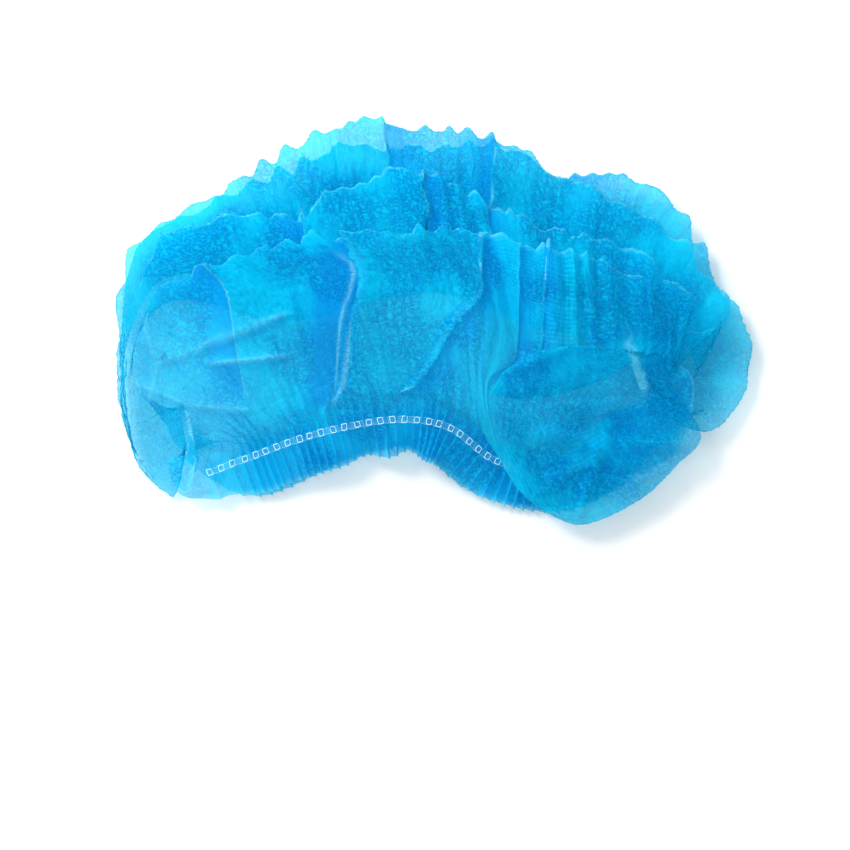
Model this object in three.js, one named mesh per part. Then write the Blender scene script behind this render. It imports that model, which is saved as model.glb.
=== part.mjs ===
// A disposable bouffant hairnet of the strip kind, pulled open and lying on its back panel.
//
// One sheet of non-woven cloth makes the whole bag.  An elastic is sewn along each of its two long
// sides, a ruffle's width in from the edge, and the sheet's two short ends are each welded shut in a
// short flat bar.  Between the two elastics the cloth lies in lengthwise folds that overlap like
// shingles, puffed up above the surface that the back panel rests on.  The mouth opens towards -Y.
//
// Millimetres, +Z up.  The origin is on the surface, under the middle of the hairnet's own box.

import * as THREE from "three";

// ---- Driving dimensions ----
const WALL = 1.0; // thickness of the cloth
const RUFFLE = 19; // width of the ruffle outside each elastic
const WAVES = 18; // gathers along each elastic
const COLUMNS_PER_WAVE = 3;
const RISE = 7; // how far inside the front elastic the cloth turns up into the bag
const ELASTIC_WIDTH = 4;
const ELASTIC_THICKNESS = 0.8;
const FRONT_ELASTIC_ENDS = [0.09, 0.78]; // where it runs into the gathers beside the welds
const BACK_ELASTIC_ENDS = [0.11, 0.83];
const GAP = 0.9; // between an elastic and the cloth that it is sewn on, which is never quite flat
const SEAL_LENGTH = 30; // along the fold of cloth that the weld closes
const SEAL_BAR = 25; // the weld bar itself
const SEAL_WIDTH = 4;
const SEAL_THICKNESS = 1.8;
const SEAL_GAP = 0.3; // between a weld bar and the fold of cloth that it closes
const FOLD_DEPTH = [42, 38, 28]; // how far each overlapping fold runs back towards the mouth
const FOLD_DROP = 5; // how far a fold's inner edge hangs under its crests' middle height
const FOLD_ROUNDNESS = 14; // how wide the cloth turns at a crest: about 0.3 of this from face to face

// Each weld: its middle, and the heading in plan of its inner end, which the folds gather round.
const SEAL_LEFT = { middle: [-112, -52, 9], heading: 100 };
const SEAL_RIGHT = { middle: [88.8, -19.4, 21], heading: 109.5 };

// ---- The lines that the cloth runs through, each as [share along the elastic, x, y, z] ----
// The front elastic, arched up over the mouth.
const FRONT_RIM = [
  [0.035, -112, -69, 13],
  [0.08, -92, -63.5, 12],
  [0.2, -66, -54, 16],
  [0.3, -42, -47.5, 20],
  [0.4, -16, -44, 22],
  [0.5, 6, -48, 20],
  [0.6, 27, -63, 12],
  [0.72, 55, -69, 7.5],
  [0.82, 75, -60, 7.5],
  [0.9, 86, -47, 11],
  [0.935, 100, -42, 16],
  [0.97, 107, -29, 22],
];
// The bulge above the front elastic, which overhangs it at the right.
const BULGE = [
  [0.04, -119, -56, 15],
  [0.12, -98, -48, 19],
  [0.28, -52, -28, 28],
  [0.42, -12, -24, 32],
  [0.52, 14, -38, 29],
  [0.58, 25, -56, 24],
  [0.64, 37, -76, 18],
  [0.7, 53, -88, 15],
  [0.76, 68, -91, 14],
  [0.83, 92, -80, 14],
  [0.9, 110, -64, 15],
  [0.95, 120, -48, 18],
];
// The crest of the front flap, and the hollow under that crest.
const FLAP_CREST = [
  [0.04, -124, -46, 16],
  [0.12, -108, -22, 27],
  [0.28, -58, -2, 35],
  [0.42, -14, 0, 39],
  [0.52, 12, -8, 41],
  [0.58, 21, -26, 40],
  [0.64, 23, -34, 39],
  [0.7, 25, -31, 40],
  [0.78, 32, -21, 41],
  [0.87, 52, -12, 39],
  [0.93, 80, -12, 34],
  [0.97, 103, -20, 27],
];
const FLAP_HOLLOW = [
  [0.04, -127, -42, 16],
  [0.12, -118, 2, 28],
  [0.28, -62, 20, 38],
  [0.42, -15, 22, 41.5],
  [0.52, 14, 18, 39],
  [0.58, 28, 0, 34],
  [0.64, 38, -20, 29],
  [0.72, 50, -32, 29],
  [0.82, 74, -26, 29],
  [0.9, 96, -14, 29],
  [0.97, 105, -14, 26],
];
// The crests of the overlapping folds, front to back.
const CREST_A = [
  [0.05, -137, -30, 19],
  [0.1, -134, 3, 23],
  [0.15, -121, 19, 27],
  [0.24, -92, 29, 34],
  [0.34, -58, 38, 39],
  [0.45, -22, 40, 42],
  [0.55, 8, 42, 41],
  [0.64, 33, 37, 38],
  [0.74, 55, 33, 35],
  [0.83, 74, 28, 33],
  [0.9, 98, 14, 30],
  [0.97, 106, -8, 25],
];
const CREST_B = [
  [0.05, -142, -42, 14],
  [0.1, -142, -1, 18],
  [0.15, -130, 33, 21],
  [0.22, -98, 48, 26],
  [0.32, -64, 49, 31],
  [0.4, -44, 61, 34],
  [0.5, -12, 69, 35],
  [0.58, 10, 61, 34],
  [0.67, 33, 48, 31],
  [0.76, 58, 41, 29],
  [0.85, 88, 33, 27],
  [0.91, 116, 12, 25],
  [0.97, 107, -3, 24],
];
const CREST_C = [
  [0.05, -142, -52, 9],
  [0.1, -146, -4, 12],
  [0.15, -137, 36, 14],
  [0.22, -104, 57, 18],
  [0.32, -66, 80, 23],
  [0.41, -38, 91, 25],
  [0.5, -6, 88, 26],
  [0.58, 20, 86, 25],
  [0.66, 47, 73, 23],
  [0.75, 77, 58, 21],
  [0.83, 108, 40, 20],
  [0.9, 134, 6, 18],
  [0.96, 112, -6, 19],
];
// The outermost fold, whose outline is that of the two end lobes, and of the back at the right.
const CREST_D = [
  [0.025, -120, -77, 4],
  [0.045, -129, -76, 4],
  [0.065, -138, -60, 5],
  [0.1, -146, -10, 6],
  [0.15, -140, 33, 7],
  [0.22, -106, 54, 8],
  [0.32, -66, 72, 10],
  [0.41, -38, 82, 11],
  [0.5, -4, 80, 12],
  [0.58, 26, 82, 12],
  [0.66, 60, 68, 12],
  [0.73, 92, 66, 11],
  [0.79, 113, 50, 10],
  [0.84, 127, 24, 8],
  [0.89, 146, -14, 8],
  [0.925, 137, -38, 8],
  [0.955, 124, -46, 10],
  [0.98, 108, -34, 14],
];
// The back elastic, which lies on the surface.
const BACK_RIM = [
  [0.1, -88, -56, 3.6],
  [0.25, -55, -42, 3.2],
  [0.4, -18, -32, 3.2],
  [0.5, 6, -38, 3.2],
  [0.62, 28, -56, 3.2],
  [0.75, 52, -58, 3.2],
  [0.86, 72, -47, 3.6],
  [0.94, 98, -44, 8],
];

// ---- Lines ----
const vector = (p) => new THREE.Vector3(...p);
const smoothstep = THREE.MathUtils.smoothstep;

// The middle of a weld bar, and its unit vectors along it, up, and out from the hairnet's middle.
function sealFrame({ middle, heading }) {
  const angle = THREE.MathUtils.degToRad(heading);
  const along = new THREE.Vector3(Math.cos(angle), Math.sin(angle), 0);
  const up = new THREE.Vector3(0, 0, 1);
  const side = along.clone().cross(up);
  return { middle: vector(middle), along, up, outward: side.multiplyScalar(Math.sign(side.x * middle[0])) };
}

// The cloth hugs a weld bar as a flat U: along its top face, round its inner end and back underneath.
// s runs along that U from the inner end, negative on the top face and positive underneath, and
// share runs across the bar, from -0.5 at the cloth's very end to 0.5 where the cloth leaves it.
function sealPoint(seal, s, share = 0.5) {
  const { middle, along, up, outward } = sealFrame(seal);
  const radius = SEAL_THICKNESS / 2 + SEAL_GAP + WALL / 2;
  const straight = SEAL_LENGTH / 2 + SEAL_GAP + WALL / 2 - radius;
  const turn = Math.abs(s) / radius;
  const quarter = Math.PI / 2;
  const past = turn < quarter ? radius * Math.cos(turn) : -(Math.abs(s) - radius * quarter);
  const height = turn < quarter ? radius * Math.sin(turn) : radius;
  return middle
    .clone()
    .addScaledVector(along, straight + past)
    .addScaledVector(up, -Math.sign(s) * height)
    .addScaledVector(outward, share * SEAL_WIDTH);
}

// A smooth line through [share, x, y, z] knots, from its place on one weld bar to that on the other.
function clothLine(knots, sealShare) {
  const all = [
    [0, ...sealPoint(SEAL_LEFT, sealShare).toArray()],
    ...knots,
    [1, ...sealPoint(SEAL_RIGHT, sealShare).toArray()],
  ];
  const at = all.map((k) => k[0]);
  const points = all.map((k) => vector(k.slice(1)));
  const slope = (i) => {
    const before = Math.max(i - 1, 0);
    const after = Math.min(i + 1, points.length - 1);
    return points[after].clone().sub(points[before]).divideScalar(at[after] - at[before]);
  };
  return (u) => {
    let i = at.findIndex((a) => a > u) - 1;
    if (i < 0) i = points.length - 2;
    const span = at[i + 1] - at[i];
    const t = (u - at[i]) / span;
    return hermite(points[i], slope(i), points[i + 1], slope(i + 1), t, span);
  };
}

// The cubic from p to q with slopes m and n, at share t of its span.
function hermite(p, m, q, n, t, span) {
  const t2 = t * t;
  const t3 = t2 * t;
  return new THREE.Vector3()
    .addScaledVector(p, 2 * t3 - 3 * t2 + 1)
    .addScaledVector(m, (t3 - 2 * t2 + t) * span)
    .addScaledVector(q, 3 * t2 - 2 * t3)
    .addScaledVector(n, (t3 - t2) * span);
}

// Places along the U round a weld bar, one for each line of a section, front edge first.
const SEAL_SHARE = {
  frontEdge: -31,
  frontRim: -17,
  rise: -15.5,
  bulge: -14,
  flapCrest: -11.5,
  flapHollow: -9,
  a: -6.5,
  hollowA: -4,
  b: -1.5,
  hollowB: 1,
  c: 3.5,
  hollowC: 6,
  d: 8.5,
  underFar: 11.5,
  underNear: 14.5,
  backRim: 17,
  backEdge: 31,
};
const frontRim = clothLine(FRONT_RIM, SEAL_SHARE.frontRim);
const bulge = clothLine(BULGE, SEAL_SHARE.bulge);
const flapCrest = clothLine(FLAP_CREST, SEAL_SHARE.flapCrest);
const flapHollow = clothLine(FLAP_HOLLOW, SEAL_SHARE.flapHollow);
const crestA = clothLine(CREST_A, SEAL_SHARE.a);
const crestB = clothLine(CREST_B, SEAL_SHARE.b);
const crestC = clothLine(CREST_C, SEAL_SHARE.c);
const crestD = clothLine(CREST_D, SEAL_SHARE.d);
const backRim = clothLine(BACK_RIM, SEAL_SHARE.backRim);

// 0 at the two weld bars and 1 between them, rising over the given share at each end.
const openness = (u, share) => smoothstep(u, 0, share) * smoothstep(1 - u, 0, share);

// A point taken from its place beside a weld bar to its place in the open cloth.
function fromSeal(u, share, reach, open) {
  const seal = u < 0.5 ? SEAL_LEFT : SEAL_RIGHT;
  return sealPoint(seal, share).lerp(open, openness(u, reach));
}

// How steeply the front ruffle droops from its elastic, in degrees.
function droop(u) {
  const steep = (middle) => 22 * Math.exp(-(((u - middle) / 0.03) ** 2));
  return 18 + steep(0.325) + steep(0.415);
}

// The direction in plan out of the mouth, square to an elastic.
function outOf(rim, u) {
  const step = 0.004;
  const tangent = rim(Math.min(u + step, 1)).sub(rim(Math.max(u - step, 0)));
  return new THREE.Vector3(tangent.y, -tangent.x, 0).normalize();
}

// The outer edge of a ruffle: square to its elastic in plan, and drooping.
function ruffleEdge(rim, u, droopDegrees) {
  const angle = THREE.MathUtils.degToRad(droopDegrees);
  const width = RUFFLE * (0.5 + 0.5 * openness(u, 0.12));
  return rim(u)
    .addScaledVector(outOf(rim, u), width * Math.cos(angle))
    .add(new THREE.Vector3(0, 0, -width * Math.sin(angle)));
}

// The inner edge of an overlapping fold: back from between two crests, towards the mouth, and lower.
function foldHollow(u, before, after, depth, share) {
  const middle = before.clone().lerp(after, 0.5);
  const back = frontRim(u).sub(middle).setZ(0).normalize();
  const fold = openness(u - 0.06, 0.2);
  middle.addScaledVector(back, depth * fold).add(new THREE.Vector3(0, 0, -FOLD_DROP * fold));
  return fromSeal(u, share, 0.04, middle);
}

// ---- The section of the cloth at share u, from the front edge over the folds to the back edge ----
// wave is how far each line is lifted and pushed outward by a gather.
function section(u) {
  const floor = WALL / 2;
  const a = crestA(u);
  const b = crestB(u);
  const c = crestC(u);
  const d = crestD(u);
  const rim = backRim(u);
  const under = (share, sealShare) =>
    fromSeal(u, sealShare, 0.08, d.clone().lerp(rim, share).setZ(floor));
  const frontEdge = ruffleEdge(frontRim, u, droop(u));
  const backEdge = ruffleEdge(backRim, u, 0).setZ(floor + 1);
  const rise = frontRim(u).addScaledVector(outOf(frontRim, u), -RISE);
  rise.z += 0.5 * RISE;
  const open = openness(u, 0.06);
  const gather = Math.cos(2 * Math.PI * WAVES * u) * open;
  const lines = [
    { point: fromSeal(u, SEAL_SHARE.frontEdge, 0.025, frontEdge), wave: 2.2 },
    { point: frontRim(u), wave: 0.2 },
    { point: fromSeal(u, SEAL_SHARE.rise, 0.05, rise), wave: 0.5 },
    { point: bulge(u), wave: 1.4 },
    { point: flapCrest(u), wave: 1.2 },
    { point: flapHollow(u), wave: 1 },
    { point: a, wave: 1 },
    { point: foldHollow(u, a, b, FOLD_DEPTH[0], SEAL_SHARE.hollowA), wave: 0.6 },
    { point: b, wave: 1 },
    { point: foldHollow(u, b, c, FOLD_DEPTH[1], SEAL_SHARE.hollowB), wave: 0.6 },
    { point: c, wave: 1 },
    { point: foldHollow(u, c, d, FOLD_DEPTH[2], SEAL_SHARE.hollowC), wave: 0.6 },
    { point: d, wave: 0.8 },
    { point: under(0.33, SEAL_SHARE.underFar), wave: 0 },
    { point: under(0.67, SEAL_SHARE.underNear), wave: 0 },
    { point: rim, wave: 0.2 },
    { point: fromSeal(u, SEAL_SHARE.backEdge, 0.05, backEdge), wave: 0.8 },
  ];
  const mouth = frontRim(u);
  return lines.map(({ point, wave }) => {
    const outward = point.clone().sub(mouth).setZ(0).normalize();
    return point
      .addScaledVector(outward, 2 * wave * gather)
      .add(new THREE.Vector3(0, 0, wave * gather));
  });
}

// The crests and hollows of the overlapping folds, as places in the section.
const FIRST_CREST = 4;
const LAST_CREST = 12;

// How sharply the cloth turns back on itself at a point: 1 where it folds flat, 0 where it runs on.
function foldedness(before, point, after) {
  const arriving = point.clone().sub(before).normalize();
  const leaving = after.clone().sub(point).normalize();
  return smoothstep(-arriving.dot(leaving), -0.2, 0.6);
}

// Where each stretch between two lines of a section gets its own points.
const PLAIN = [0, 0.5];
const INTO_CREST = [0, 0.9];
const FROM_CREST = [0, 0.1, 0.9];
const CREST_TO_CREST = [0, 0.1, 0.5, 0.9];
const STRETCHES = [
  [0],
  [0],
  PLAIN,
  PLAIN,
  PLAIN,
  INTO_CREST,
  FROM_CREST,
  CREST_TO_CREST,
  FROM_CREST,
  CREST_TO_CREST,
  FROM_CREST,
  FROM_CREST,
  FROM_CREST,
  [0],
  [0],
  [0],
];

// The section as a row of points: a smooth curve through its lines, which turns tightly at a crest.
function sectionPoints(u) {
  const lines = section(u);
  const last = lines.length - 1;
  const slope = (i) => {
    const before = lines[Math.max(i - 1, 0)];
    const after = lines[Math.min(i + 1, last)];
    const through = after.clone().sub(before).multiplyScalar(0.5);
    if (i < FIRST_CREST || i > LAST_CREST) return through;
    const reach = Math.min(before.distanceTo(lines[i]), after.distanceTo(lines[i]));
    const folded = new THREE.Vector3(0, 0, -Math.min(FOLD_ROUNDNESS, 0.45 * reach));
    return through.lerp(folded, foldedness(before, lines[i], after));
  };
  const points = STRETCHES.flatMap((shares, i) =>
    shares.map((t) => hermite(lines[i], slope(i), lines[i + 1], slope(i + 1), t, 1)),
  );
  return [...points, lines[last]].map((p) => p.setZ(Math.max(p.z, WALL / 2)));
}

// ---- Solids ----
// A grid of points made into a closed wall of the given thickness, half on each side of the grid.
function wallGeometry(grid, thickness) {
  const rows = grid.length;
  const columns = grid[0].length;
  const across = (i, j) => grid[i][Math.min(j + 1, columns - 1)].clone().sub(grid[i][Math.max(j - 1, 0)]);
  const along = (i, j) => grid[Math.min(i + 1, rows - 1)][j].clone().sub(grid[Math.max(i - 1, 0)][j]);
  const position = [];
  for (const side of [1, -1]) {
    for (let i = 0; i < rows; i++) {
      for (let j = 0; j < columns; j++) {
        const normal = along(i, j).cross(across(i, j)).normalize();
        const p = grid[i][j].clone().addScaledVector(normal, (side * thickness) / 2);
        position.push(p.x, p.y, Math.max(p.z, 0));
      }
    }
  }
  const index = [];
  const quad = (a, b, c, d) => index.push(a, b, c, a, c, d);
  const top = (i, j) => i * columns + j;
  const bottom = (i, j) => (rows + i) * columns + j;
  for (let i = 0; i < rows - 1; i++) {
    for (let j = 0; j < columns - 1; j++) {
      quad(top(i, j), top(i + 1, j), top(i + 1, j + 1), top(i, j + 1));
      quad(bottom(i, j), bottom(i, j + 1), bottom(i + 1, j + 1), bottom(i + 1, j));
    }
  }
  for (let i = 0; i < rows - 1; i++) {
    quad(top(i, 0), bottom(i, 0), bottom(i + 1, 0), top(i + 1, 0));
    quad(top(i + 1, columns - 1), bottom(i + 1, columns - 1), bottom(i, columns - 1), top(i, columns - 1));
  }
  for (let j = 0; j < columns - 1; j++) {
    quad(top(0, j + 1), bottom(0, j + 1), bottom(0, j), top(0, j));
    quad(top(rows - 1, j), bottom(rows - 1, j), bottom(rows - 1, j + 1), top(rows - 1, j + 1));
  }
  const geometry = new THREE.BufferGeometry();
  geometry.setAttribute("position", new THREE.Float32BufferAttribute(position, 3));
  geometry.setIndex(index);
  geometry.computeVertexNormals();
  return geometry;
}

// The section points at every column of the cloth, from one weld to the other.
const COLUMNS = WAVES * COLUMNS_PER_WAVE;
const openGrid = Array.from({ length: COLUMNS + 1 }, (_, i) => sectionPoints(i / COLUMNS));
const acrossWeld = (row, { outward }) => row.map((p) => p.clone().addScaledVector(outward, -SEAL_WIDTH));
const clothGrid = [
  acrossWeld(openGrid[0], sealFrame(SEAL_LEFT)),
  ...openGrid,
  acrossWeld(openGrid[COLUMNS], sealFrame(SEAL_RIGHT)),
];
const FRONT_RIM_COLUMN = 1;
const BACK_RIM_COLUMN = clothGrid[0].length - 2;

// The welded bar, where the cloth's layers are pressed into one.
function sealGeometry(seal) {
  const { middle, along, up } = sealFrame(seal);
  const place = new THREE.Matrix4().makeBasis(along, up.clone().cross(along), up).setPosition(middle);
  return new THREE.BoxGeometry(SEAL_BAR, SEAL_WIDTH, SEAL_THICKNESS).applyMatrix4(place);
}

// An elastic: a flat strip on the cloth's outer face, along a column of the cloth's grid.
function elasticGeometry(column, ends) {
  const [from, to] = ends.map((share) => 1 + Math.round(share * COLUMNS));
  const lift = WALL / 2 + GAP + ELASTIC_THICKNESS / 2;
  const strip = [];
  for (let i = from; i <= to; i++) {
    const middle = clothGrid[i][column];
    const along = clothGrid[i + 1][column].clone().sub(clothGrid[i - 1][column]);
    const chord = clothGrid[i][column + 1].clone().sub(clothGrid[i][column - 1]).normalize();
    const normal = along.clone().cross(chord).normalize();
    const across = normal.clone().cross(along).normalize();
    const centre = middle.clone().addScaledVector(normal, lift);
    strip.push([-0.5, 0.5].map((share) => centre.clone().addScaledVector(across, share * ELASTIC_WIDTH)));
  }
  return wallGeometry(strip, ELASTIC_THICKNESS);
}

// ---- Materials ----
const cloth = new THREE.MeshStandardMaterial({
  color: 0x1ba6e6,
  roughness: 0.75,
  metalness: 0,
  side: THREE.DoubleSide,
});
const elastic = new THREE.MeshStandardMaterial({ color: 0x8fd8f2, roughness: 0.6, metalness: 0 });
const weld = new THREE.MeshStandardMaterial({ color: 0x58bfe8, roughness: 0.4, metalness: 0 });

// ---- The hairnet ----
const hairnet = new THREE.Group();

const crown = new THREE.Mesh(wallGeometry(clothGrid, WALL), cloth);
crown.name = "crown";
hairnet.add(crown);

const frontElastic = new THREE.Mesh(elasticGeometry(FRONT_RIM_COLUMN, FRONT_ELASTIC_ENDS), elastic);
frontElastic.name = "front_elastic";
hairnet.add(frontElastic);

const backElastic = new THREE.Mesh(elasticGeometry(BACK_RIM_COLUMN, BACK_ELASTIC_ENDS), elastic);
backElastic.name = "back_elastic";
hairnet.add(backElastic);

const leftWeld = new THREE.Mesh(sealGeometry(SEAL_LEFT), weld);
leftWeld.name = "left_end_weld";
hairnet.add(leftWeld);

const rightWeld = new THREE.Mesh(sealGeometry(SEAL_RIGHT), weld);
rightWeld.name = "right_end_weld";
hairnet.add(rightWeld);

export default hairnet;
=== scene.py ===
import bmesh
import bpy
import numpy as np
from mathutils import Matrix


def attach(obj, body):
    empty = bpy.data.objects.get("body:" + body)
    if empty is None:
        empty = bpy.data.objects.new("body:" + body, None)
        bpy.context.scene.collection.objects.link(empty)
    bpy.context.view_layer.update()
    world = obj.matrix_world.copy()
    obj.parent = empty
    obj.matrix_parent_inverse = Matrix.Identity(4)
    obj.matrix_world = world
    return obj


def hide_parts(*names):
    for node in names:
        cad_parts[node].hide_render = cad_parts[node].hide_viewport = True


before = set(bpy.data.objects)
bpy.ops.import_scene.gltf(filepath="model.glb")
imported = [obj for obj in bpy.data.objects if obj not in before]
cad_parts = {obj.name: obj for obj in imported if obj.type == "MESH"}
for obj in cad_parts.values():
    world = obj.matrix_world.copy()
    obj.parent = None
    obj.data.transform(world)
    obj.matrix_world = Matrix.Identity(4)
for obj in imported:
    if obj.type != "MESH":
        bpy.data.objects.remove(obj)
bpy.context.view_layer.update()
MM = 0.001

# ---- Crown ----
# The crown is one sheet of thin blue spun-bonded polypropylene, gathered along an elastic on each of
# its long sides and welded shut at its two ends. It lies on its back panel, with its lengthwise folds
# overlapping like shingles.

# The lines that the cloth runs through, from the front elastic over the folds to the back one, each as
# rows of (share along the elastic, x, y, z) in mm.
FRONT_RIM = [
    (0.035, -112, -69, 13), (0.08, -92, -63.5, 12), (0.2, -66, -54, 16), (0.3, -42, -47.5, 20),
    (0.4, -16, -44, 22), (0.5, 6, -48, 20), (0.6, 27, -63, 12), (0.72, 55, -69, 7.5),
    (0.82, 75, -60, 7.5), (0.9, 86, -47, 11), (0.935, 100, -42, 16), (0.97, 107, -29, 22),
]
BULGE = [
    (0.04, -119, -56, 15), (0.12, -98, -48, 19), (0.28, -52, -28, 28), (0.42, -12, -24, 32),
    (0.52, 14, -38, 29), (0.58, 25, -56, 24), (0.64, 37, -76, 18), (0.7, 53, -88, 15),
    (0.76, 68, -91, 14), (0.83, 92, -80, 14), (0.9, 110, -64, 15), (0.95, 120, -48, 18),
]
FLAP_CREST = [
    (0.04, -124, -46, 16), (0.12, -108, -22, 27), (0.28, -58, -2, 35), (0.42, -14, 0, 39),
    (0.52, 12, -8, 41), (0.58, 21, -26, 40), (0.64, 23, -34, 39), (0.7, 25, -31, 40),
    (0.78, 32, -21, 41), (0.87, 52, -12, 39), (0.93, 80, -12, 34), (0.97, 103, -20, 27),
]
FLAP_HOLLOW = [
    (0.04, -127, -42, 16), (0.12, -118, 2, 28), (0.28, -62, 20, 38), (0.42, -15, 22, 41.5),
    (0.52, 14, 18, 39), (0.58, 28, 0, 34), (0.64, 38, -20, 29), (0.72, 50, -32, 29),
    (0.82, 74, -26, 29), (0.9, 96, -14, 29), (0.97, 105, -14, 26),
]
CREST_A = [
    (0.05, -137, -30, 19), (0.1, -134, 3, 23), (0.15, -121, 19, 27), (0.24, -92, 29, 34),
    (0.34, -58, 38, 39), (0.45, -22, 40, 42), (0.55, 8, 42, 41), (0.64, 33, 37, 38),
    (0.74, 55, 33, 35), (0.83, 74, 28, 33), (0.9, 98, 14, 30), (0.97, 106, -8, 25),
]
CREST_B = [
    (0.05, -142, -42, 14), (0.1, -142, -1, 18), (0.15, -130, 33, 21), (0.22, -98, 48, 26),
    (0.32, -64, 49, 31), (0.4, -44, 61, 34), (0.5, -12, 69, 35), (0.58, 10, 61, 34),
    (0.67, 33, 48, 31), (0.76, 58, 41, 29), (0.85, 88, 33, 27), (0.91, 116, 12, 25),
    (0.97, 107, -3, 24),
]
CREST_C = [
    (0.05, -142, -52, 9), (0.1, -146, -4, 12), (0.15, -137, 36, 14), (0.22, -104, 57, 18),
    (0.32, -66, 80, 23), (0.41, -38, 91, 25), (0.5, -6, 88, 26), (0.58, 20, 86, 25),
    (0.66, 47, 73, 23), (0.75, 77, 58, 21), (0.83, 108, 40, 20), (0.9, 134, 6, 18),
    (0.96, 112, -6, 19),
]
CREST_D = [
    (0.025, -120, -77, 4), (0.045, -129, -76, 4), (0.065, -138, -60, 5), (0.1, -146, -10, 6),
    (0.15, -140, 33, 7),
    (0.22, -106, 54, 8), (0.32, -66, 72, 10), (0.41, -38, 82, 11), (0.5, -4, 80, 12),
    (0.58, 26, 82, 12), (0.66, 60, 68, 12), (0.73, 92, 66, 11), (0.79, 113, 50, 10),
    (0.84, 127, 24, 8), (0.89, 146, -14, 8), (0.925, 137, -38, 8), (0.955, 122, -50, 10),
    (0.98, 107, -40, 14),
]
BACK_RIM = [
    (0.1, -88, -56, 3.6), (0.25, -55, -42, 3.2), (0.4, -18, -32, 3.2), (0.5, 6, -38, 3.2),
    (0.62, 28, -56, 3.2), (0.75, 52, -58, 3.2), (0.86, 72, -47, 3.6), (0.94, 98, -44, 8),
]

# The places of the welds, and where each line of the cloth meets the flat U that a weld closes, in mm
# along the U from its bend.
WELD_LENGTH, WELD_WIDTH, WELD_RADIUS = 30.0, 4.0, 1.7
WELD_LEFT = {"middle": (-112, -52, 9), "heading": 100.0}
WELD_RIGHT = {"middle": (88.8, -19.4, 21), "heading": 109.5}
AT_WELD = [-31, -17, -15.5, -14, -11.5, -9, -6.5, -4, -1.5, 1, 3.5, 6, 8.5, 11.5, 14.5, 17, 31]


def weld_frame(weld):
    """The middle of a weld, its heading in plan, and the unit vector across it away from the middle."""
    angle = np.radians(weld["heading"])
    along = np.array([np.cos(angle), np.sin(angle), 0.0])
    side = np.array([along[1], -along[0], 0.0])
    middle = np.array(weld["middle"], float)
    return middle, along, side * np.sign(side[0] * middle[0])


def weld_point(weld, s, share=0.5):
    """A point on the flat U round a weld: s mm along the U from its bend, share of the way across."""
    middle, along, outward = weld_frame(weld)
    straight = WELD_LENGTH / 2 + 0.8 - WELD_RADIUS
    turn = min(abs(s) / WELD_RADIUS, np.pi / 2)
    past = WELD_RADIUS * np.cos(turn) - (abs(s) - WELD_RADIUS * turn)
    up = np.array([0, 0, -np.sign(s) * WELD_RADIUS * np.sin(turn)])
    return middle + along * (straight + past) + up + outward * share * WELD_WIDTH


def hermite(p, m, q, n, t, span=1.0):
    """The cubic from p to q with slopes m and n, at share t of its span."""
    t = np.asarray(t)[..., None]
    t2, t3 = t * t, t * t * t
    return (
        p * (2 * t3 - 3 * t2 + 1) + m * (t3 - 2 * t2 + t) * span
        + q * (3 * t2 - 2 * t3) + n * (t3 - t2) * span
    )


def cloth_line(knots, s):
    """A smooth line through its knots and its places on both welds, as a function of the share u."""
    ends = (0, *weld_point(WELD_LEFT, s)), (1, *weld_point(WELD_RIGHT, s))
    rows = np.array([ends[0], *knots, ends[1]], float)
    at, points = rows[:, 0], rows[:, 1:]
    before = np.r_[0, np.arange(len(at) - 1)]
    after = np.r_[np.arange(1, len(at)), len(at) - 1]
    slopes = (points[after] - points[before]) / (at[after] - at[before])[:, None]

    def line(u):
        i = np.clip(np.searchsorted(at, u, side="right") - 1, 0, len(at) - 2)
        span = at[i + 1] - at[i]
        t = (u - at[i]) / span
        return hermite(points[i], slopes[i], points[i + 1], slopes[i + 1], t, span[..., None])

    return line


def smoothstep(x, low, high):
    """0 below low and 1 above high, with an S between."""
    t = np.clip((x - low) / (high - low), 0, 1)
    return t * t * (3 - 2 * t)


def openness(u, share):
    """0 at the welds and 1 between them, rising over the given share at each end."""
    return smoothstep(u, 0, share) * smoothstep(1 - u, 0, share)


# The cloth between those lines, in mm: the ruffles beyond the elastics, how far the cloth climbs from
# the front one, the accordion folds, the height at which it rests, and the columns and rows of its grid.
RUFFLE, BACK_RUFFLE = 19.0, 25.0
RISE = 7.0
FOLD_DEPTH = (42.0, 38.0, 28.0)
FOLD_DROP = 5.0
FOLD_ROUNDNESS = 14.0
FLOOR = 0.25
COLUMNS = 560
STEPS = (9, 4, 11, 27, 12, 13, 16, 8, 16, 8, 16, 8, 9, 4, 4, 7)

front_rim = cloth_line(FRONT_RIM, AT_WELD[1])
back_rim = cloth_line(BACK_RIM, AT_WELD[15])
u = np.linspace(0, 1, COLUMNS + 1)


def from_weld(s, reach, points):
    """Points in the open cloth, drawn in to their places on the welds at both ends."""
    near = np.where((u < 0.5)[:, None], weld_point(WELD_LEFT, s), weld_point(WELD_RIGHT, s))
    share = openness(u, reach)[:, None]
    return near * (1 - share) + points * share


def out_of(rim):
    """The direction in plan out of the mouth, square to an elastic."""
    tangent = rim(np.minimum(u + 0.004, 1)) - rim(np.maximum(u - 0.004, 0))
    out = np.stack([tangent[:, 1], -tangent[:, 0], 0 * u], 1)
    return out / np.linalg.norm(out, axis=1, keepdims=True)


def ruffle_edge(rim, width, droop):
    """The outer edge of a ruffle: its width out from its elastic, drooping by the given degrees."""
    width = (width * (0.5 + 0.5 * openness(u, 0.12)))[:, None]
    angle = np.radians(droop)[:, None]
    return rim(u) + out_of(rim) * width * np.cos(angle) - [0, 0, 1] * width * np.sin(angle)


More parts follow.
